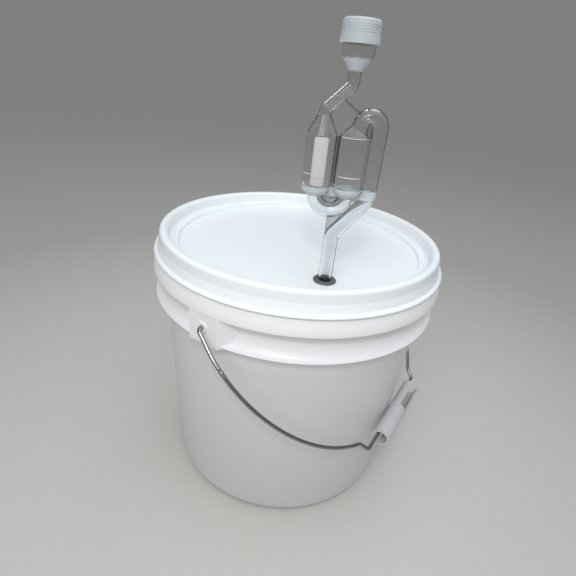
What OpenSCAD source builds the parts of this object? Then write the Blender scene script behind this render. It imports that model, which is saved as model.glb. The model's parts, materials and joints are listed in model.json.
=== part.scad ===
// Fermentation pail with a press-on lid and a twin-chamber airlock. Millimetres, +Z up.
// The origin is the centre of the pail's underside. The bail's pivots lie along X, and the
// bail hangs towards -Y. The airlock stands in a grommet in the lid.

/* [Pail] */
// Height of the pail's rim above the ground
pail_h = 226; // [190:1:320]
// Outer radius of the wall at the bottom
base_r = 105; // [95:0.5:130]
// Lean of the wall outwards, in degrees
wall_lean = 2.5; // [1:0.1:3.5]
// Thickness of the wall
wall_t = 2; // [1.6:0.1:2.6]
// Thickness of the bottom
floor_t = 2.4; // [1.6:0.1:4]
// Radius of the soft edge between the wall and the bottom
base_edge_r = 9; // [5:0.5:14]
// Height of the hollow under the bottom
foot_h = 3; // [1:0.5:6]
// Width of the ring that the pail stands on
foot_w = 7; // [4:0.5:12]

/* [Collar and flange] */
// Drop from the rim to the shoulder of the collar
collar_drop = 13.6; // [12:0.2:20]
// Height of the collar band
collar_h = 12.6; // [8:0.2:18]
// Reach of the collar's lower edge beyond the wall
collar_reach = 8.8; // [7:0.2:12]
// Drop from the collar's lower edge to the flange's lip
flange_drop = 21.8; // [18:0.2:30]
// Reach of the flange's lip beyond the wall
flange_reach = 8.6; // [6:0.2:11]
// Height of the flange's flare
flange_h = 15; // [10:0.5:17]
// Thickness of the collar and of the flange
band_t = 1.8; // [1.4:0.1:2.4]

/* [Ears] */
// Width of the ear plate
ear_w = 25; // [20:0.5:34]
// Thickness of the ear plate
ear_t = 2.4; // [1.8:0.1:3.2]
// Set-back of the ear plate's face from the collar's lower edge
ear_inset = 0.7; // [0.3:0.1:1.2]
// Thickness of the ear's two sloping sides
ear_side_t = 2; // [1.6:0.1:2.6]
// Angle of those sides to the ear plate
ear_side_deg = 45; // [35:1:60]
// Drop of the ear plate below the flange's lip
ear_drop = 2.6; // [0:0.2:6]
// Outer radius of the ring round the pivot hole
boss_r = 4.2; // [3.6:0.1:6]
// Height of the ring round the pivot hole
boss_h = 1.2; // [0.6:0.1:2]

/* [Lid] */
// Thickness of the lid's skirt and top
lid_t = 1.8; // [1.4:0.1:2.4]
// Thickness of the lid's plug wall, which goes inside the pail
plug_t = 1.4; // [1.2:0.1:2]
// Gap between the lid and the pail's rim
lid_gap = 0.4; // [0.3:0.05:0.8]
// Drop from the top of the lid's rim to the panel
panel_drop = 12.6; // [8:0.2:18]
// Rise of the ledge between the panel and the plug wall
ledge_rise = 2.4; // [1:0.2:4]
// Width of that ledge
ledge_w = 8; // [4:0.5:14]
// Flare of the skirt towards its lower edge
skirt_flare = 2; // [1:0.1:2.6]
// Reach of the bead on that edge beyond the flare
bead_w = 2.7; // [1.5:0.1:3.4]
// Height of that bead
bead_h = 2.2; // [1.4:0.1:3]
// Gap between the bead and the collar's shoulder
bead_gap = 0.3; // [0.3:0.1:2]
// Height of the sealing ring in the lid
gasket_h = 2.2; // [1.5:0.1:3]

/* [Grommet] */
// Radius of the hole in the lid's panel
lid_hole_r = 6.4; // [5.8:0.1:9]
// Radius of the grommet's flanges
grommet_r = 8.3; // [7.8:0.1:12]
// Thickness of each flange
grommet_flange_t = 1.6; // [1:0.1:3]
// Running gap between the grommet and the airlock's stem
stem_fit = 0.05; // [0.02:0.01:0.1]
// Distance from the pail's axis to the grommet
lock_r = 75.7; // [45:0.1:80]
// Direction of the grommet, in degrees from +X
lock_at = -134.8; // [-150:0.1:-120]

/* [Airlock] */
// Direction in which the airlock's flat side points along, in degrees from +X
lock_turn = -61; // [-180:1:180]
// Wall thickness of the airlock
lock_t = 1.2; // [0.9:0.1:1.6]
// Radius of the stem where it passes through the grommet
stem_r = 4.8; // [4.2:0.1:5]
// Length of the stem below the lid's panel
stem_below = 14; // [8:0.5:20]
// Height of the stem's bend above the panel
stem_h = 35; // [26:0.5:50]
// Radius of the tubes that join the chambers to the stem
tube_r = 5; // [4.6:0.1:5.6]
// Radius of the two round chambers
chamber_r = 9.6; // [8:0.1:11]
// Height of the chambers' straight part
chamber_h = 32; // [22:0.5:44]
// Distance of the first chamber from the stem's axis
chamber_x = 14.4; // [13:0.1:16]
// Gap between the two chambers
chamber_gap = 0.8; // [0.4:0.1:1.6]
// Height of the chambers' lower end above the panel
chamber_z = 66.5; // [60:0.5:80]
// Overlap of the second chamber and the tube beside it
tube_sink = 0.3; // [0.2:0.1:0.8]
// Radius of the eye inside the upper bend
bend_eye = 0.9; // [0.6:0.1:1.4]
// Rise of the upper bend's centre above the chambers
high_bend_rise = 6.5; // [5:0.5:9]
// Height of the first chamber's long cone
inlet_rise = 11.5; // [9:0.5:14]
// Radius of the inlet tube below the cup
neck_r = 3.8; // [3.2:0.1:4.4]
// Height of the neck's lower bend above the panel
neck_z = 127; // [122:0.5:150]
// Length of the neck
neck_h = 7; // [4:0.5:14]
// Radius of the cup
cup_r = 9.6; // [8:0.1:12]
// Height of the cup's cone
cup_cone_h = 7; // [4:0.5:10]
// Height of the cup's straight part
cup_h = 17; // [12:0.5:26]
// Thickness of the flat webs between the tubes
web_t = 1.8; // [1.2:0.1:3]

/* [Cap] */
// Gap between the cap and the cup
cap_gap = 0.35; // [0.3:0.05:0.6]
// Wall thickness of the cap
cap_t = 0.9; // [0.7:0.1:1.4]
// Height of the cap
cap_h = 12; // [8:0.5:18]
// Height of the cap's wider lower band
cap_band_h = 4.6; // [2:0.2:6]
// Extra thickness of that band
cap_band_t = 0.6; // [0.3:0.1:1.2]
// Radius of the vent holes in the cap
vent_r = 0.6; // [0.4:0.1:1]
// Number of vent holes
vent_count = 4; // [3:1:6]
// Number of fine ribs round the cap above the band
rib_count = 4; // [1:1:4]
// Height of those ribs
rib_h = 0.25; // [0.1:0.05:0.4]

/* [Bail] */
// Radius of the wire
wire_r = 1.5; // [1.2:0.1:1.8]
// Gap between the wire and what it turns in
wire_gap = 0.3; // [0.3:0.05:0.5]
// Gap between the ear plates and the bail's legs
leg_gap = 7.4; // [7:0.1:10]
// How far the bend beside each ear stands in from the legs
hook_in = 4.4; // [2:0.2:4.4]
// Length of the bail's straight legs
leg_len = 33; // [26:1:48]
// Radius of the bail's round corners
corner_r = 121; // [106:1:128]
// Where the round corner ends, in degrees from the leg
corner_deg = 63; // [58:1:68]
// Drop of the step that stops the grip
step_drop = 11; // [9:0.5:13]
// Run of that step towards the grip
step_run = 9; // [8:0.5:11]
// Outer radius of the grip
grip_r = 7.3; // [6:0.1:9]
// Wall thickness of the grip
grip_t = 1.8; // [1.4:0.1:2.4]
// Width of the opening along each half of the grip
grip_slot_w = 7; // [4:0.5:8]
// Length of the grip
grip_len = 80; // [60:1:86]
// Slide of the grip along the wire towards +X
grip_shift = 4.5; // [0:0.5:8]
// Width of the ring round the grip's middle
grip_ring_w = 2; // [1:0.2:4]
// Height of that ring
grip_ring_h = 0.5; // [0.3:0.1:1]

/* [Label] */
// Width of the paper strip on the first chamber
label_w = 9; // [6:0.5:12]
// Height of the paper strip
label_h = 29; // [20:0.5:30]
// Thickness of the paper strip
label_t = 0.15; // [0.1:0.05:0.3]

/* [Hidden] */
$fn = 128;

// Outer radius of the pail's wall at a height
function wall_r(z) = base_r + z * tan(wall_lean);
// Radius half way through the wall at a height
function seat_r(z) = wall_r(z) - wall_t / 2;

collar_top = pail_h - collar_drop;
collar_bottom = collar_top - collar_h;
collar_r = wall_r(collar_bottom) + collar_reach;
shoulder_r = wall_r(collar_top) + 0.62 * collar_reach;
lip_z = collar_bottom - flange_drop;
lip_r = wall_r(lip_z) + flange_reach;
flange_top = lip_z + flange_h;

// The ear stands out nearly as far as the collar, from under it down past the lip
ear_x = collar_r - ear_inset;
ear_bottom = lip_z - ear_drop;
ear_top = collar_bottom + 1;
pivot_z = (collar_bottom + lip_z) / 2;
hole_r = wire_r + wire_gap;
// The ear's sides run back into the wall, where the cone seat_r trims them half way through it
root_x = wall_r(ear_bottom) - 6;
root_y = ear_w / 2 + (ear_x - root_x) / tan(ear_side_deg);
pocket_x = wall_r(pivot_z) + 0.2;

// The lid's rim straddles the pail's rim, with the sealing ring between them
rim_r = wall_r(pail_h);
rim_in = rim_r - wall_t;
skirt_in = rim_r + lid_gap;
skirt_r = skirt_in + lid_t;
gasket_z = pail_h + wire_gap;
lid_roof = gasket_z + gasket_h;
lid_top = lid_roof + lid_t;
skirt_bottom = collar_top + bead_gap;
plug_r = wall_r(lid_top - panel_drop - lid_t) - wall_t - lid_gap;
plug_in = plug_r - plug_t;
panel_z = lid_top - panel_drop;
ledge_z = panel_z + ledge_rise;
panel_r = plug_in - ledge_w;
rim_round = 2.6;

lock_x = lock_r * cos(lock_at);
lock_y = lock_r * sin(lock_at);
stem_hole_r = stem_r + stem_fit;

// Airlock heights, above the panel, and places across, from the stem's axis
top_z = chamber_z + chamber_h;
second_x = -chamber_x + 2 * chamber_r + chamber_gap;
side_x = second_x + chamber_r + tube_r - tube_sink;
low_bend_r = (second_x + chamber_x) / 2;
low_bend_x = (second_x - chamber_x) / 2;
low_bend_z = chamber_z - 4.4;
high_bend_r = tube_r + bend_eye;
high_bend_x = side_x - high_bend_r;
high_leg_x = high_bend_x - high_bend_r;
high_bend_z = top_z + high_bend_rise;
inlet_z = top_z + inlet_rise;
// Each chamber's round bottom ends a little above the chamber's lower end
bowl_top = chamber_z + 1.5;
// The second chamber's short cone runs up at 45 degrees into the upper bend's leg
cone_tip_r = 2;
// Depth of a web inside the walls that it joins
web_seat = 1;
// Box that holds one half of the airlock
lock_reach = side_x + 2 * tube_r;
lock_depth = max(chamber_r, cup_r) + 2;
neck_top = neck_z + neck_h;
cup_low = neck_top + cup_cone_h;
cup_top = cup_low + cup_h;
cap_top = cup_top + wire_gap + cap_t;
cap_bottom = cap_top - cap_h;
cap_in = cup_r + cap_gap;

// The bail in its own plane: across, and out from the pivots
leg_x = ear_x + boss_h + leg_gap;
// Each leg slopes in over its first part, to the bend that goes into the ear
hook_x = leg_x - hook_in;
splay_len = 0.72 * leg_len;
splay_bend = 60;
pin_in = ear_x - ear_t - 2.6;
tail_len = 5;
corner_x = leg_x - corner_r;
arc_end = [corner_x + corner_r * cos(corner_deg), leg_len + corner_r * sin(corner_deg)];
arc_way = [-sin(corner_deg), cos(corner_deg)];
step_lead = 5;
grip_v = arc_end.y + step_drop;
// Path of the bail's +X half, from the tail behind the ear plate to the step beside the grip
half_path = [[pin_in, -tail_len], [pin_in, 0], [hook_x, 0], [leg_x, splay_len],
             [leg_x, leg_len + corner_r * tan(corner_deg / 2)],
             arc_end + step_lead * arc_way, [arc_end.x - step_run, grip_v]];
half_bends = [0, 2.4, 2.8, splay_bend, corner_r, 3.2, 3.2];
// The grip hangs on the wire, which runs along one side of its bore
grip_in = grip_r - grip_t;
hang = grip_in - wire_r - wire_gap;
grip_axis_v = grip_v + hang;
// The bail leans until the ring on the grip is a hair from the wall
rest_gap = grip_r + grip_ring_h + wire_gap;
bail_lean = asin((rest_gap + base_r * cos(wall_lean) + pivot_z * sin(wall_lean)) / grip_axis_v)
    - wall_lean;

// How far a joint ball stands proud of its rod, and how much of each run it stands in for
joint_swell = 0.08;
joint_trim = 0.3;

// Signed turn at corner i of a path, in degrees, positive to the left
function turn(p, i) =
    let (u = p[i] - p[i - 1], w = p[i + 1] - p[i])
    atan2(u.x * w.y - u.y * w.x, u * w);

// Length that the bend at corner i takes from each run beside it
function cut(p, i, bend) =
    i <= 0 || i >= len(p) - 1 ? 0 : bend[i] * tan(abs(turn(p, i)) / 2);

// Ball that closes the joint between two stretches of a rod, a hair wider than the rod
module joint_ball(at, r) {
    translate([at.x, 0, at.y]) rotate([0, 0, 20]) sphere(r + joint_swell);
}

// A round rod along a path of points in the XZ plane, with a round bend at each corner
module rod(p, bend, r) {
    for (i = [0 : len(p) - 2]) {
        u = (p[i + 1] - p[i]) / norm(p[i + 1] - p[i]);
        a = p[i] + u * (cut(p, i, bend) + (i > 0 ? joint_trim : 0));
        b = p[i + 1] - u * (cut(p, i + 1, bend) + (i < len(p) - 2 ? joint_trim : 0));
        translate([a.x, 0, a.y]) rotate([0, atan2(u.x, u.y), 0]) rotate([0, 0, 20])
            cylinder(h = norm(b - a), r = r);
    }
    for (i = [1 : len(p) - 2]) {
        side = sign(turn(p, i));
        u = (p[i] - p[i - 1]) / norm(p[i] - p[i - 1]);
        w = (p[i + 1] - p[i]) / norm(p[i + 1] - p[i]);
        from = p[i] - u * cut(p, i, bend);
        centre = from + side * bend[i] * [-u.y, u.x];
        start = atan2(from.y - centre.y, from.x - centre.x) + (side > 0 ? 0 : turn(p, i));
        translate([centre.x, 0, centre.y]) rotate([90, 0, 0]) rotate([0, 0, start])
            rotate_extrude(angle = abs(turn(p, i))) translate([bend[i], 0]) rotate(20) circle(r);
        joint_ball(from, r);
        joint_ball(p[i] + w * cut(p, i, bend), r);
    }
}

// Half a ring of round rod in the XZ plane, from an angle, with a ball at each end
module half_ring(centre, ring_r, from, r) {
    translate([centre.x, 0, centre.y]) rotate([90, 0, 0]) rotate([0, 0, from])
        rotate_extrude(angle = 180) translate([ring_r, 0]) rotate(20) circle(r);
    for (side = [-1, 1]) joint_ball(centre + [side * ring_r, 0], r);
}

// Points of a round arc, from one angle to another
function arc(centre, r, from, to, steps) =
    [for (i = [0 : steps]) centre + r * [cos(from + (to - from) * i / steps),
                                         sin(from + (to - from) * i / steps)]];

// Section of the wall and the bottom, with a soft outer edge and a hollow underside
module pail_section() {
    in_r = wall_r(0) - wall_t;
    inner_edge = base_edge_r - wall_t;
    edge_x = base_r - base_edge_r;
    polygon(concat(
        [[0, foot_h], [edge_x - foot_w, foot_h], [edge_x - foot_w + foot_h, 0], [edge_x, 0]],
        arc([edge_x + 0.35, base_edge_r], base_edge_r, -90, 2, 12),
        [[wall_r(pail_h - 2), pail_h - 2], [rim_r - 0.4, pail_h - 0.6], [rim_r - 1, pail_h],
         [rim_in + 0.6, pail_h], [rim_in, pail_h - 0.6]],
        arc([in_r - inner_edge + 0.3, foot_h + floor_t + inner_edge], inner_edge, 0, -90, 8),
        [[0, foot_h + floor_t]]));
}

// Section of the collar, a band that hangs from a shoulder on the wall
module collar_section() {
    wall_top = seat_r(collar_top);
    edge = 1;
    outer = [for (i = [0 : 8])
        let (t = i / 8)
        [shoulder_r + (collar_r - shoulder_r) * sin(90 * t), collar_top - edge - (collar_h - edge) * t]];
    inner = [for (i = [8 : -1 : 1]) [outer[i].x - band_t, outer[i].y]];
    polygon(concat(
        [[wall_top, collar_top], [shoulder_r - 1.4, collar_top], [shoulder_r - 0.4, collar_top - 0.5]],
        outer, inner, [[shoulder_r - band_t - 1, collar_top - band_t - 1.2],
        [wall_top, collar_top - band_t - 1.2]]));
}

// Section of the flange, which leaves the wall and flares out to a sharp lip
module flange_section() {
    start_r = wall_r(flange_top) - 0.1;
    outer = [for (i = [0 : 8])
        let (t = i / 8)
        [start_r + (lip_r - start_r) * (1 - cos(90 * t)), flange_top - flange_h * sin(90 * t)]];
    inner = [for (i = [8 : -1 : 0]) [outer[i].x - band_t * sin(90 * i / 8) - 0.4,
                                     outer[i].y - band_t * cos(90 * i / 8)]];
    wall_mid = seat_r(flange_top);
    polygon(concat(
        [[wall_mid, flange_top]], outer,
        [for (i = [0 : 7]) [inner[i].x, max(inner[i].y, lip_z)]],
        [[wall_mid, flange_top - band_t]]));
}

// One ear on the +X side: a plate with two sides that slope back to the wall, and the hole's ring
module ear() {
    height = ear_top - ear_bottom;
    back_x = ear_x - ear_t;
    side_y = ear_side_t / sin(ear_side_deg);
    back_y = ear_w / 2 + ear_t / tan(ear_side_deg) - side_y;
    difference() {
        union() {
            translate([0, 0, ear_bottom]) linear_extrude(height)
                polygon([[root_x, -root_y], [ear_x, -ear_w / 2], [ear_x, ear_w / 2], [root_x, root_y],
                         [root_x, root_y - side_y], [back_x, back_y], [back_x, -back_y],
                         [root_x, side_y - root_y]]);
            translate([ear_x - ear_t / 2, 0, pivot_z]) rotate([0, 90, 0])
                cylinder(h = ear_t / 2 + boss_h, r = boss_r);
        }
        translate([back_x - 1, 0, pivot_z]) rotate([0, 90, 0])
            cylinder(h = ear_t + boss_h + 2, r = hole_r);
        translate([0, 0, ear_bottom - 1])
            cylinder(h = height + 2, r1 = seat_r(ear_bottom - 1), r2 = seat_r(ear_top + 1));
    }
}

module pail() {
    color([0.93, 0.94, 0.95]) union() {
        difference() {
            rotate_extrude() union() {
                pail_section();
                collar_section();
                flange_section();
            }
            for (side = [0, 1]) rotate([0, 0, 180 * side])
                translate([pocket_x, -(ear_w - ear_side_t) / 2, ear_bottom - 1])
                    cube([ear_x - ear_t - pocket_x, ear_w - ear_side_t,
                          collar_bottom + 4 - ear_bottom]);
        }
        for (side = [0, 1]) rotate([0, 0, 180 * side]) ear();
    }
}

// Section of the lid: panel, ledge, plug wall, rounded rim, skirt and lower bead
module lid_section() {
    bead_in = skirt_r + skirt_flare;
    bead_out = bead_in + bead_w;
    polygon(concat(
        [[0, panel_z], [panel_r - 1, panel_z], [panel_r, ledge_z], [plug_in - 1.2, ledge_z],
         [plug_in, ledge_z + 1.2]],
        arc([plug_in + rim_round, lid_top - rim_round], rim_round, 180, 90, 6),
        arc([skirt_r - rim_round, lid_top - rim_round], rim_round, 90, 0, 6),
        [[skirt_r + 0.3, skirt_bottom + 9], [bead_in, skirt_bottom + bead_h + 0.8],
         [bead_out - 0.4, skirt_bottom + bead_h - 0.4], [bead_out, skirt_bottom + 0.9],
         [bead_out - 0.5, skirt_bottom], [skirt_in + skirt_flare, skirt_bottom],
         [skirt_in, skirt_bottom + 7],
         [skirt_in, lid_roof], [plug_r, lid_roof], [plug_r, ledge_z - lid_t + 0.8],
         [plug_r - 0.8, ledge_z - lid_t], [panel_r + 0.6, ledge_z - lid_t],
         [panel_r - 0.4, panel_z - lid_t], [0, panel_z - lid_t]]));
}

module lid() {
    color([0.90, 0.94, 0.97]) difference() {
        rotate_extrude() lid_section();
        translate([lock_x, lock_y, panel_z - lid_t - 1]) cylinder(h = lid_t + 2, r = lid_hole_r);
    }
}

// Soft ring that the pail's rim closes against
module lid_gasket() {
    color([0.85, 0.86, 0.87]) translate([0, 0, gasket_z]) difference() {
        cylinder(h = gasket_h, r = skirt_in);
        translate([0, 0, -1]) cylinder(h = gasket_h + 2, r = plug_r);
    }
}

// Rubber grommet with a flange above and below the lid's panel
module grommet() {
    low = -lid_t - 0.3 - grommet_flange_t;
    color([0.08, 0.08, 0.09]) translate([lock_x, lock_y, panel_z]) rotate_extrude()
        polygon([[stem_hole_r, low], [grommet_r - 0.8, low], [grommet_r - 0.2, low + 0.6],
                 [grommet_r - 0.2, -lid_t - 0.3], [lid_hole_r - 0.3, -lid_t - 0.3],
                 [lid_hole_r - 0.3, 0], [grommet_r, 0], [grommet_r, grommet_flange_t - 0.6],
                 [grommet_r - 0.6, grommet_flange_t], [stem_hole_r, grommet_flange_t]]);
}

// Round chamber that stands on the lower bend, with a bowl below and a cone above
module chamber(tip_r, tip_z, w) {
    rotate_extrude() polygon(concat(
        [[0, low_bend_z]],
        [for (a = [0 : 15 : 90]) [tube_r - w + (chamber_r - tube_r) * sin(a),
                                  bowl_top - (bowl_top - low_bend_z) * cos(a) + w]],
        [[chamber_r - w, top_z], [tip_r - w, tip_z], [0, tip_z]]));
}

// Solid of the airlock with every radius less by w: the outside at 0, the hollow at lock_t
module lock_form(w) {
    past = w > 0 ? 1 : 0;
    leg_r = tube_r - w - joint_swell;
    // Stem, which widens above the grommet to the size of the tubes
    rotate_extrude() polygon([
        [0, -stem_below - past], [stem_r - w, -stem_below - past], [stem_r - w, grommet_flange_t + 1],
        [leg_r, grommet_flange_t + 9], [leg_r, stem_h - 7], [0, stem_h - 7]]);
    // Bend from the stem, side tube and upper bend
    rod([[0, stem_h - 9], [0, stem_h], [side_x, chamber_z - 4.5], [side_x, high_bend_z]],
        [0, 7, 7, 0], tube_r - w);
    half_ring([high_bend_x, high_bend_z], high_bend_r, 0, tube_r - w);
    // Leg of the upper bend, from inside the second chamber
    translate([high_leg_x, 0, top_z - 1]) cylinder(h = high_bend_rise + 1, r = tube_r - w);
    translate([-chamber_x, 0, 0]) chamber(neck_r, inlet_z, w);
    translate([second_x, 0, 0]) chamber(cone_tip_r, top_z + chamber_r - cone_tip_r, w);
    // Lower bend between the chambers
    half_ring([low_bend_x, low_bend_z], low_bend_r, 180, tube_r - w);
    // Inlet tube from the first chamber to the neck
    rod([[-chamber_x, inlet_z], [-chamber_x, inlet_z + 2.6], [0, neck_z], [0, neck_top]],
        [0, 5, 6, 0], neck_r - w);
    joint_ball([-chamber_x, inlet_z], neck_r - w);
    joint_ball([0, neck_top], neck_r - w);
    // Cup
    rotate_extrude() polygon([
        [0, neck_top], [neck_r - w, neck_top], [cup_r - 0.7 - w, cup_low], [cup_r - w, cup_low + 3],
        [cup_r - w, cup_top + past], [0, cup_top + past]]);
}

// Flat webs in the plane where the two halves meet
module lock_webs() {
    low_eye_r = low_bend_r - tube_r + web_seat;
    side_in = side_x - tube_r + web_seat;
    gusset_x = -tube_r + 0.2;
    translate([0, web_t / 2, 0]) rotate([90, 0, 0]) linear_extrude(web_t) {
        // Between the chambers, down to the inside of the lower bend
        translate([low_bend_x, low_bend_z]) circle(low_eye_r);
        translate([low_bend_x - low_eye_r, low_bend_z])
            square([2 * low_eye_r, bowl_top - low_bend_z]);
        translate([low_bend_x - 2 * web_seat, chamber_z]) square([4 * web_seat, chamber_h]);
        // Between the second chamber and the side tube, up to the inside of the upper bend
        translate([high_bend_x, high_bend_z]) circle(bend_eye + web_seat);
        polygon([[second_x + chamber_r - 2 * web_seat, chamber_z], [side_in, chamber_z],
                 [side_in, high_bend_z], [high_bend_x - bend_eye - web_seat, high_bend_z],
                 [second_x + chamber_r - 2 * web_seat, top_z]]);
        // Strut from the inlet tube to the upper bend
        polygon([[-4.4, neck_z - 8.4], [-3, neck_z - 7.6], [high_bend_x - 6.6, high_bend_z + 7.4],
                 [high_bend_x - 7.8, high_bend_z + 6.2]]);
        // Gusset between the lower bend and the stem's slanted tube
        polygon([[gusset_x, stem_h - 4], [-3, stem_h - 4], [9, stem_h + 17], [2, low_bend_z - 12],
                 [gusset_x, low_bend_z - 12]]);
    }
}

// One half of the airlock, on the side that face points to
module lock_half(face) {
    translate([lock_x, lock_y, panel_z]) rotate([0, 0, lock_turn]) intersection() {
        difference() {
            union() {
                lock_form(0);
                lock_webs();
            }
            lock_form(lock_t);
        }
        translate([-lock_reach, face > 0 ? 0 : -lock_depth, -stem_below - 1])
            cube([2 * lock_reach, lock_depth, stem_below + cup_top + 2]);
    }
}

module airlock_front() {
    color([0.80, 0.86, 0.90, 0.35]) lock_half(-1);
}

module airlock_back() {
    color([0.80, 0.86, 0.90, 0.35]) lock_half(1);
}

// Push-on cap with a wider lower band, fine ribs above it and vent holes in its top
module airlock_cap() {
    out = cap_in + cap_t;
    band_top = cap_bottom + cap_band_h;
    rib_step = 1.2;
    ribs = [for (i = [rib_count - 1 : -1 : 0], p = [[0, 0.4], [rib_h, 0.15], [rib_h, -0.15], [0, -0.4]])
        [out + p.x, band_top + rib_step * (i + 0.9) + p.y]];
    color([0.82, 0.88, 0.95]) translate([lock_x, lock_y, panel_z]) difference() {
        rotate_extrude() polygon(concat(
            [[0, cap_top], [out - 1, cap_top], [out, cap_top - 1]], ribs,
            [[out, band_top], [out + cap_band_t, band_top - 0.3], [out + cap_band_t, cap_bottom],
             [cap_in, cap_bottom], [cap_in, cap_top - cap_t], [0, cap_top - cap_t]]));
        for (i = [0 : vent_count - 1]) rotate([0, 0, 360 * i / vent_count])
            translate([cup_r / 2, 0, cap_top - cap_t - 1])
                cylinder(h = cap_t + 2, r = vent_r, $fn = 32);
    }
}

// Bare paper strip wrapped on the front of the first chamber
module airlock_label() {
    half = asin(label_w / 2 / chamber_r);
    color([0.95, 0.95, 0.94]) translate([lock_x, lock_y, panel_z]) rotate([0, 0, lock_turn])
        translate([-chamber_x, 0, chamber_z + 2.4]) rotate([0, 0, -90 - half])
            rotate_extrude(angle = 2 * half) translate([chamber_r, 0]) square([label_t, label_h]);
}

// Places what is drawn in the bail's own plane: X across, Z down along the bail
module in_bail_plane() {
    translate([0, 0, pivot_z]) rotate([-bail_lean, 0, 0]) mirror([0, 0, 1]) children();
}

module bail_wire() {
    last = len(half_path) - 1;
    color([0.62, 0.62, 0.60]) in_bail_plane()
        rod(concat(half_path, [for (i = [last : -1 : 0]) [-half_path[i].x, half_path[i].y]]),
            concat(half_bends, [for (i = [last : -1 : 0]) half_bends[i]]), wire_r);
}

// Moulded grip: a tube with a ring round its middle, open along opposite sides in its halves
module bail_grip() {
    color([0.93, 0.93, 0.94]) in_bail_plane() translate([grip_shift, 0, grip_axis_v]) difference() {
        rotate([0, 90, 0]) union() {
            translate([0, 0, -grip_len / 2]) cylinder(h = grip_len, r = grip_r);
            translate([0, 0, -grip_ring_w / 2]) cylinder(h = grip_ring_w, r = grip_r + grip_ring_h);
        }
        rotate([0, 90, 0]) translate([0, 0, -grip_len]) cylinder(h = 2 * grip_len, r = grip_in);
        for (side = [0, 1]) rotate([0, 0, 180 * side])
            translate([grip_ring_w, -2 * grip_r, -grip_slot_w / 2])
                cube([grip_len, 2 * grip_r, grip_slot_w]);
    }
}

pail();
lid();
lid_gasket();
grommet();
airlock_front();
airlock_back();
airlock_cap();
airlock_label();
bail_wire();
bail_grip();
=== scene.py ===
"""Looks of a plastic fermentation pail with a lid, a clear airlock and a wire bail."""

import json
import math

import bmesh
import bpy
from mathutils import Matrix, Vector


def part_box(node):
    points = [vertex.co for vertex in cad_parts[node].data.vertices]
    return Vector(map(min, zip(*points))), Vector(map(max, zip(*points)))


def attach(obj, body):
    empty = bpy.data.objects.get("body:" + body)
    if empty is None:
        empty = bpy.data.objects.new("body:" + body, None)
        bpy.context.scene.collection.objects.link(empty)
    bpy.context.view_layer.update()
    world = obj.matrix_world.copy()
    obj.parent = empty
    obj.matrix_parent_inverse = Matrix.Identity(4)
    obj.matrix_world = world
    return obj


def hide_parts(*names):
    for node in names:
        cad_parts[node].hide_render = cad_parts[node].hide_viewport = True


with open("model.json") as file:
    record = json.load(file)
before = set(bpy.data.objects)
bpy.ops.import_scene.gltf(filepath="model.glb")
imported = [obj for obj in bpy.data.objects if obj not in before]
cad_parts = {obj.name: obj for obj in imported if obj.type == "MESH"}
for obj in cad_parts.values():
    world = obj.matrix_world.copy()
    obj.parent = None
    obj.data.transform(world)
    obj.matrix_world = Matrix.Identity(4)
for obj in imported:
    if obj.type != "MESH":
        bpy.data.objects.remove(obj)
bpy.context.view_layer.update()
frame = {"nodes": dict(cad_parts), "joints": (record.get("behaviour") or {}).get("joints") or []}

# One millimetre, in metres
mm = 0.001

# How far round from the pail's front the photograph was taken; the airlock's flat side faces it
photo_turn = math.radians(-61)

# Places from the frame, in metres
stem = next(Vector(joint["pos_m"]) for joint in frame["joints"] if joint["name"] == "airlock_turn")
panel_z = stem.z
pail_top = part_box("pail")[1].z

# The airlock's sizes in millimetres, with x across from its stem
chamber_r = 9.6
left_chamber_x = -14.4
middle_chamber_x = 5.6
tube_r = 5
side_tube_x = 19.9

# Heights on the airlock in millimetres, up from the lid's panel
label_low, label_high = ((corner.z - panel_z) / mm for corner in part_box("airlock_label"))
label_fine_line = (73.4, 73.9)
fill_line_z = 75.6
first_ridge_z = 64.2
frosted_bowls = (61.5, 67.5)
frosted_cone = (134.2, 140.2)


def above_panel(x, y, z):
    """A point of the airlock from millimetres across, into depth and above the lid's panel."""
    across = Vector((math.cos(photo_turn), math.sin(photo_turn), 0))
    depth = Vector((-across.y, across.x, 0))
    return stem + (across * x + depth * y + Vector((0, 0, z))) * mm


def round_upright(axis_x, radius, angle, z):
    """A point of the airlock round an upright axis, where angle 0 faces the camera."""
    return above_panel(axis_x + radius * math.sin(angle), -radius * math.cos(angle), z)


def link(thing):
    """Put an object into the scene."""
    bpy.context.scene.collection.objects.link(thing)


# Shader nodes


def add_node(tree, kind, values=None, **settings):
    """A shader node with its settings and with the values of its inputs."""
    node = tree.nodes.new(kind)
    for key, value in settings.items():
        setattr(node, key, value)
    for key, value in (values or {}).items():
        node.inputs[key].default_value = value
    return node


def combine(tree, operation, first, second):
    """One value worked out from two."""
    node = add_node(tree, "ShaderNodeMath", operation=operation)
    tree.links.new(first, node.inputs[0])
    tree.links.new(second, node.inputs[1])
    return node.outputs["Value"]


def part_coordinates(tree):
    """Coordinates in metres in the part's own frame."""
    return add_node(tree, "ShaderNodeTexCoord").outputs["Object"]


def noise(tree, scale, detail=3):
    """Smooth noise all over the part; a higher scale makes it finer."""
    node = add_node(tree, "ShaderNodeTexNoise", {"Scale": scale, "Detail": detail})
    tree.links.new(part_coordinates(tree), node.inputs["Vector"])
    return node.outputs["Fac"]


def ramp(tree, value, start, end, low=0, high=1):
    """Low up to the start, high from the end on, and a straight slope between them."""
    limits = {"From Min": start, "From Max": end, "To Min": low, "To Max": high}
    node = add_node(tree, "ShaderNodeMapRange", limits, clamp=True)
    tree.links.new(value, node.inputs["Value"])
    return node.outputs["Result"]


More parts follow.
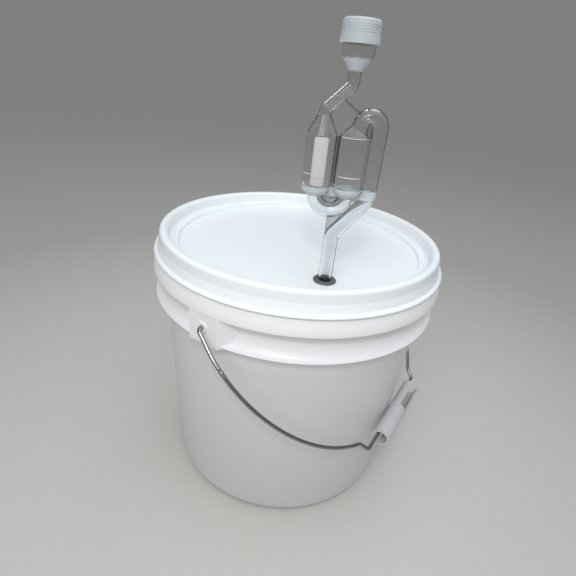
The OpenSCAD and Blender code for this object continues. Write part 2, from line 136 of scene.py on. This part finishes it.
def blend_colors(tree, factor, low, high):
    """The low colour where the factor is 0, and the high one where it is 1."""
    factor_socket, low_socket, high_socket, color_output = 0, 6, 7, 2
    node = add_node(tree, "ShaderNodeMix", data_type="RGBA")
    for socket, color in ((low_socket, low), (high_socket, high)):
        if isinstance(color, tuple):
            node.inputs[socket].default_value = (*color, 1)
        else:
            tree.links.new(color, node.inputs[socket])
    tree.links.new(factor, node.inputs[factor_socket])
    return node.outputs[color_output]


def height_of(tree):
    """Height above the ground, in metres."""
    split = add_node(tree, "ShaderNodeSeparateXYZ")
    tree.links.new(part_coordinates(tree), split.inputs["Vector"])
    return split.outputs["Z"]


def height_band(tree, low, high, soft):
    """1 between two heights above the lid's panel and 0 outside them, with soft edges, in millimetres."""
    height = height_of(tree)
    base, top, edge = panel_z + low * mm, panel_z + high * mm, soft * mm
    return combine(tree, "MULTIPLY", ramp(tree, height, base - edge, base + edge),
                   ramp(tree, height, top - edge, top + edge, low=1, high=0))


# Materials


def new_material(name):
    """A material with its node tree and its Principled shader."""
    made = bpy.data.materials.new(name)
    made.use_nodes = True
    return made, made.node_tree, made.node_tree.nodes["Principled BSDF"]


def mottle(tree, shader, scale, dark, light):
    """Base colour that wanders between two colours; a higher scale makes smaller patches."""
    tree.links.new(blend_colors(tree, noise(tree, scale), dark, light), shader.inputs["Base Color"])


def scuff(tree, shader, scale, smooth, rough, detail=3):
    """Roughness that wanders between two levels, which it reaches where the noise is strong."""
    noise_low, noise_high = 0.3, 0.7
    level = ramp(tree, noise(tree, scale, detail), noise_low, noise_high, smooth, rough)
    tree.links.new(level, shader.inputs["Roughness"])


def add_bumps(tree, shader, scale, depth, strength, detail=3):
    """Small unevenness of a depth in metres."""
    node = add_node(tree, "ShaderNodeBump", {"Strength": strength, "Distance": depth})
    tree.links.new(noise(tree, scale, detail), node.inputs["Height"])
    tree.links.new(node.outputs["Normal"], shader.inputs["Normal"])


def pail_plastic():
    """Satin polyethylene: whiter in the thick bands, greyer below them where the thin plastic lets light
    in, and darker towards the foot; the greyer tone is partly painted shade, and the darkening towards
    the foot is painted shade.
    """
    foot, waist, bands = (0.54, 0.545, 0.54), (0.66, 0.67, 0.68), (0.82, 0.825, 0.84)
    waist_z, bands_start, bands_full = 0.75 * pail_top, 0.70 * pail_top, 0.80 * pail_top
    made, tree, shader = new_material("pail_plastic")
    height = height_of(tree)
    # Painted shade: the colour darkens from the waist down to the foot, and the greyer tone under the
    # bands stands partly for shade there.
    wall_with_painted_shade = blend_colors(tree, ramp(tree, height, 0, waist_z), foot, waist)
    whole = blend_colors(tree, ramp(tree, height, bands_start, bands_full), wall_with_painted_shade, bands)
    tree.links.new(whole, shader.inputs["Base Color"])
    scuff(tree, shader, scale=60, smooth=0.30, rough=0.40)
    add_bumps(tree, shader, scale=22, detail=2, depth=0.0004, strength=0.2)
    return made


def lid_plastic():
    """Satin plastic with a cool tint and the faint waves of a moulded panel."""
    made, tree, shader = new_material("lid_plastic")
    mottle(tree, shader, scale=14, dark=(0.82, 0.86, 0.885), light=(0.84, 0.88, 0.90))
    scuff(tree, shader, scale=50, smooth=0.30, rough=0.38)
    add_bumps(tree, shader, scale=16, detail=1, depth=0.0004, strength=0.15)
    return made


def seal_rubber():
    """Pale soft rubber of the sealing ring under the lid's rim."""
    made, tree, shader = new_material("seal_rubber")
    mottle(tree, shader, scale=300, dark=(0.70, 0.70, 0.70), light=(0.78, 0.78, 0.77))
    shader.inputs["Roughness"].default_value = 0.6
    return made


def grommet_rubber():
    """Dull black rubber with a fine grain."""
    made, tree, shader = new_material("grommet_rubber")
    mottle(tree, shader, scale=500, dark=(0.085, 0.085, 0.087), light=(0.13, 0.13, 0.133))
    scuff(tree, shader, scale=900, smooth=0.5, rough=0.75)
    add_bumps(tree, shader, scale=1200, depth=0.0001, strength=0.4)
    return made


def clear_plastic():
    """Clear styrene, milky in the chambers' bowls and in the cone below the cup."""
    clear, milky = (0.93, 0.94, 0.945), (0.84, 0.89, 0.94)
    edge_mm = 0.6
    made, tree, shader = new_material("clear_plastic")
    frost = combine(tree, "MAXIMUM", height_band(tree, *frosted_bowls, edge_mm),
                    height_band(tree, *frosted_cone, edge_mm))
    tree.links.new(blend_colors(tree, frost, clear, milky), shader.inputs["Base Color"])
    for socket, if_clear, if_milky in (("Roughness", 0.015, 0.32), ("Transmission Weight", 1, 0.45)):
        tree.links.new(ramp(tree, frost, 0, 1, if_clear, if_milky), shader.inputs[socket])
    shader.inputs["IOR"].default_value = 1.38
    add_bumps(tree, shader, scale=120, detail=1, depth=0.0001, strength=0.12)
    return made


def cap_plastic():
    """Milky polythene, which lets the cup show through a little."""
    made, tree, shader = new_material("cap_plastic")
    mottle(tree, shader, scale=200, dark=(0.86, 0.91, 0.94), light=(0.90, 0.95, 0.97))
    shader.inputs["Transmission Weight"].default_value = 0.62
    shader.inputs["IOR"].default_value = 1.3
    shader.inputs["Roughness"].default_value = 0.3
    return made


def label_paper():
    """Coated paper, pale grey above and a little pinker below a fine line."""
    dark, light = (0.49, 0.505, 0.51), (0.56, 0.575, 0.58)
    foot, fine_line = (0.54, 0.505, 0.51), (0.40, 0.39, 0.40)
    below_label, foot_high, edge_mm = 60, 73.6, 0.1
    made, tree, shader = new_material("label_paper")
    upper = blend_colors(tree, noise(tree, 900, detail=6), dark, light)
    both = blend_colors(tree, height_band(tree, below_label, foot_high, edge_mm), upper, foot)
    whole = blend_colors(tree, height_band(tree, *label_fine_line, edge_mm), both, fine_line)
    tree.links.new(whole, shader.inputs["Base Color"])
    shader.inputs["Roughness"].default_value = 0.6
    add_bumps(tree, shader, scale=1500, detail=6, depth=0.00005, strength=0.4)
    return made


def fill_ink():
    """White of the raised fill lines on the clear plastic."""
    made, tree, shader = new_material("fill_ink")
    mottle(tree, shader, scale=1500, dark=(0.82, 0.84, 0.85), light=(0.90, 0.92, 0.93))
    shader.inputs["Roughness"].default_value = 0.35
    return made


def wire_steel():
    """Drawn steel wire, polished in patches and duller between them."""
    made, tree, shader = new_material("wire_steel")
    shader.inputs["Metallic"].default_value = 1
    mottle(tree, shader, scale=160, dark=(0.30, 0.295, 0.28), light=(0.42, 0.415, 0.40))
    scuff(tree, shader, scale=300, detail=2, smooth=0.16, rough=0.26)
    return made


def grip_plastic():
    """Satin pale plastic of the bail's grip."""
    made, tree, shader = new_material("grip_plastic")
    mottle(tree, shader, scale=120, dark=(0.50, 0.50, 0.52), light=(0.55, 0.55, 0.57))
    scuff(tree, shader, scale=300, smooth=0.38, rough=0.5)
    add_bumps(tree, shader, scale=160, depth=0.0002, strength=0.2)
    return made


def studio_paper():
    """Warm grey floor with painted light: paler round the pail as a painted pool of light, deeper away
    from it, and paler again towards the horizon, where it makes up for the lamps' light that falls off.
    """
    painted_pool_of_light, middle, far = (0.55, 0.545, 0.515), (0.40, 0.393, 0.37), (0.43, 0.425, 0.41)
    near_r, middle_r, far_r = 0.15, 0.65, 4
    made, tree, shader = new_material("studio_paper")
    distance = add_node(tree, "ShaderNodeVectorMath", operation="LENGTH")
    tree.links.new(part_coordinates(tree), distance.inputs[0])
    away = distance.outputs["Value"]
    # Painted light: a paler pool round the pail, and a paler far floor that makes up for the lamps' light
    # falling off.
    inner = blend_colors(tree, ramp(tree, away, near_r, middle_r), painted_pool_of_light, middle)
    whole = blend_colors(tree, ramp(tree, away, middle_r, far_r), inner, far)
    tree.links.new(whole, shader.inputs["Base Color"])
    shader.inputs["Roughness"].default_value = 0.9
    add_bumps(tree, shader, scale=60, detail=4, depth=0.002, strength=0.25)
    return made


def paint(node, material):
    """Give a node of the frame its only material."""
    data = frame["nodes"][node].data
    data.materials.clear()
    data.materials.append(material)


# Meshes


def add_circle(mesh, radius, height, sides):
    """Points of a level circle about the pail's axis, in metres."""
    angles = [2 * math.pi * k / sides for k in range(sides)]
    return [mesh.verts.new((radius * math.cos(angle), radius * math.sin(angle), height))
            for angle in angles]


def join_rings(mesh, rings):
    """Faces between neighbouring rings of points."""
    for low, high in zip(rings, rings[1:]):
        for i in range(len(low)):
            j = (i + 1) % len(low)
            mesh.faces.new((low[i], low[j], high[j], high[i]))


def add_tube(mesh, rings):
    """Faces between neighbouring rings of points, with the two ends closed."""
    join_rings(mesh, rings)
    mesh.faces.new(rings[0])
    mesh.faces.new(rings[-1])


# Camera, light and floor


def add_camera():
    """The photograph's camera, in the photograph's square frame of 576 pixels."""
    away, height = 0.340, 0.347
    yaw, pitch, roll = math.radians(-1.05), math.radians(27.34), math.radians(5.88)
    focal_px, frame_px, sensor_mm = 411.8, 576, 36
    turn = Matrix.Rotation(photo_turn, 3, "Z")
    forward = Vector((math.sin(yaw) * math.cos(pitch), math.cos(yaw) * math.cos(pitch),
                      -math.sin(pitch)))
    level = forward.cross(Vector((0, 0, 1))).normalized()
    upright = level.cross(forward)
    right = level * math.cos(roll) + upright * math.sin(roll)
    up = upright * math.cos(roll) - level * math.sin(roll)
    axes = Matrix((turn @ right, turn @ up, turn @ -forward)).transposed()
    data = bpy.data.cameras.new("photo_camera")
    data.sensor_width = sensor_mm
    data.lens = focal_px / frame_px * sensor_mm
    data.shift_x = 0.0012
    data.shift_y = -0.001
    data.clip_start = 0.01
    data.clip_end = 20
    camera = bpy.data.objects.new("photo_camera", data)
    camera.matrix_world = Matrix.Translation(turn @ Vector((0, -away, height))) @ axes.to_4x4()
    link(camera)
    bpy.context.scene.camera = camera


def add_lamp(name, azimuth, elevation, distance, size, watts, tint=(1, 1, 1)):
    """A square soft lamp that looks at the pail from a direction given in degrees."""
    aim = Vector((0, 0, 0.16))
    around, upward = math.radians(azimuth), math.radians(elevation)
    back = Vector((math.sin(around) * math.cos(upward), -math.cos(around) * math.cos(upward),
                   math.sin(upward)))
    data = bpy.data.lights.new(name, "AREA")
    data.size = size
    data.energy = watts
    data.color = tint
    lamp = bpy.data.objects.new(name, data)
    lamp.location = aim + back * distance
    lamp.rotation_mode = "QUATERNION"
    lamp.rotation_quaternion = (-back).to_track_quat("-Z", "Y")
    link(lamp)


def add_lamps():
    """A large lamp above, one in front, a weak one behind, and a small one for sharp highlights."""
    add_lamp("ceiling_softbox", azimuth=-20, elevation=75, distance=1.3, size=1.4, watts=6.9,
             tint=(0.88, 0.95, 1.0))
    add_lamp("front_softbox", azimuth=-76, elevation=38, distance=1.3, size=0.7, watts=4.8)
    add_lamp("side_softbox", azimuth=100, elevation=50, distance=1.3, size=0.5, watts=0.7)
    add_lamp("camera_lamp", azimuth=-63, elevation=41, distance=0.55, size=0.06, watts=0.45)


def add_world():
    """Even light from all round, which shows as a mid-grey backdrop, also in and through the part."""
    light_color, light_strength = (0.97, 0.98, 1.0, 1), 0.52
    backdrop_color = (0.216, 0.215, 0.207, 1)
    world = bpy.data.worlds.new("studio")
    world.use_nodes = True
    tree = world.node_tree
    light = tree.nodes["Background"]
    light.inputs["Color"].default_value = light_color
    light.inputs["Strength"].default_value = light_strength
    backdrop = add_node(tree, "ShaderNodeBackground", {"Color": backdrop_color})
    rays = add_node(tree, "ShaderNodeLightPath").outputs
    seen = rays["Is Camera Ray"]
    for kind in ("Is Glossy Ray", "Is Transmission Ray"):
        seen = combine(tree, "MAXIMUM", seen, rays[kind])
    mix = add_node(tree, "ShaderNodeMixShader")
    for source, socket in zip((seen, light.outputs["Background"], backdrop.outputs["Background"]),
                              mix.inputs):
        tree.links.new(source, socket)
    tree.links.new(mix.outputs["Shader"], tree.nodes["World Output"].inputs["Surface"])
    bpy.context.scene.world = world


def add_floor():
    """A wide round floor with the pail in its middle."""
    radii, sides = (9, 3, 1, 0.3), 96
    mesh = bmesh.new()
    circles = [add_circle(mesh, radius, 0, sides) for radius in radii]
    join_rings(mesh, circles)
    mesh.faces.new(circles[-1])
    data = bpy.data.meshes.new("studio_floor")
    mesh.to_mesh(data)
    mesh.free()
    data.materials.append(studio_paper())
    floor = bpy.data.objects.new("studio_floor", data)
    link(floor)


# Pieces that the scene adds


def new_piece(name, mesh, material, body):
    """An object made from a mesh under construction, riding on a body."""
    bmesh.ops.recalc_face_normals(mesh, faces=mesh.faces)
    data = bpy.data.meshes.new(name)
    mesh.to_mesh(data)
    mesh.free()
    data.materials.append(material)
    data.shade_smooth()
    piece = bpy.data.objects.new(name, data)
    link(piece)
    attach(piece, body)
    return piece


def add_raised_line(name, axis_x, wall_r, z, from_deg, to_deg, material):
    """A fine raised line round a chamber or tube, with rounded ends; 0 degrees faces the camera."""
    half_thick, lift, tip, bluntness = 0.22, 0.02, 0.06, 0.3
    steps, sides = 20, 8
    mesh = bmesh.new()
    rings = []
    for i in range(steps + 1):
        along = i / steps
        angle = math.radians(from_deg + (to_deg - from_deg) * along)
        swell = half_thick * math.sin(math.pi * (tip + (1 - 2 * tip) * along)) ** bluntness
        ring = []
        for k in range(sides):
            turn = 2 * math.pi * k / sides
            radius = wall_r + lift + swell * math.cos(turn)
            height = z + swell * math.sin(turn)
            ring.append(mesh.verts.new(round_upright(axis_x, radius, angle, height)))
        rings.append(ring)
    add_tube(mesh, rings)
    new_piece(name, mesh, material, "airlock")


def add_fill_lines(ink):
    """A raised line on the front of either chamber, at the same height."""
    add_raised_line("fill_line_middle", middle_chamber_x, chamber_r, fill_line_z,
                    from_deg=-56, to_deg=42, material=ink)
    add_raised_line("fill_line_left", left_chamber_x, chamber_r, fill_line_z,
                    from_deg=-70, to_deg=-28, material=ink)


def add_tube_ridges(clear):
    """Ridges round the foot of the side tube."""
    ridge_count, ridge_pitch = 3, 1.9
    for i in range(ridge_count):
        add_raised_line("tube_ridge_%d" % (i + 1), side_tube_x, tube_r,
                        first_ridge_z + ridge_pitch * i, from_deg=-62, to_deg=30, material=clear)


def label_skin(mesh, radius, rows, columns):
    """A grid of points over the label at a radius, with rows crowded into its round corners."""
    half_width, corner, inset = 4.5, 1.6, 0.05
    low, high = label_low + inset, label_high - inset
    grid = []
    for i in range(rows + 1):
        z = low + (high - low) * (0.5 - 0.5 * math.cos(math.pi * i / rows))
        into_corner = max(0, corner - min(z - low, high - z))
        half_row = half_width - corner + math.sqrt(max(corner ** 2 - into_corner ** 2, 0))
        angles = [(2 * k / columns - 1) * half_row / chamber_r for k in range(columns + 1)]
        grid.append([mesh.verts.new(round_upright(left_chamber_x, radius, angle, z)) for angle in angles])
    return grid


def border(grid):
    """The outer points of a grid, once round."""
    return (grid[0] + [row[-1] for row in grid[1:]] + grid[-1][-2::-1]
            + [row[0] for row in grid[-2:0:-1]])


def add_label(material):
    """Paper strip with round corners, wrapped on the front of the first chamber."""
    inner_gap, outer_gap, rows, columns = 0.01, 0.14, 40, 12
    mesh = bmesh.new()
    skins = [label_skin(mesh, chamber_r + out, rows, columns) for out in (inner_gap, outer_gap)]
    for grid in skins:
        for low_row, high_row in zip(grid, grid[1:]):
            for k in range(columns):
                mesh.faces.new((low_row[k], low_row[k + 1], high_row[k + 1], high_row[k]))
    join_rings(mesh, [border(grid) for grid in skins])
    piece = new_piece("paper_strip", mesh, material, "airlock")
    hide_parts("airlock_label")


def add_gate_mark(material):
    """Low ring and nub that the moulding gate leaves in the middle of the lid."""
    profile = ((0.5, 0.2), (0.9, 0.04), (2.2, 0.03), (2.6, 0.16), (3.1, 0.16), (3.5, -0.05))
    sides = 48
    mesh = bmesh.new()
    add_tube(mesh, [add_circle(mesh, radius * mm, panel_z + rise * mm, sides)
                    for radius, rise in profile])
    new_piece("gate_mark", mesh, material, "lid")


bpy.context.scene.view_settings.view_transform = "Standard"
add_camera()
add_world()
add_lamps()
add_floor()

looks = {
    "pail": pail_plastic(),
    "lid": lid_plastic(),
    "lid_gasket": seal_rubber(),
    "grommet": grommet_rubber(),
    "airlock_front": clear_plastic(),
    "airlock_cap": cap_plastic(),
    "airlock_label": label_paper(),
    "bail_wire": wire_steel(),
    "bail_grip": grip_plastic(),
}
looks["airlock_back"] = looks["airlock_front"]
for node, material in looks.items():
    paint(node, material)

add_fill_lines(fill_ink())
add_tube_ridges(looks["airlock_front"])
add_label(looks["airlock_label"])
add_gate_mark(looks["lid"])
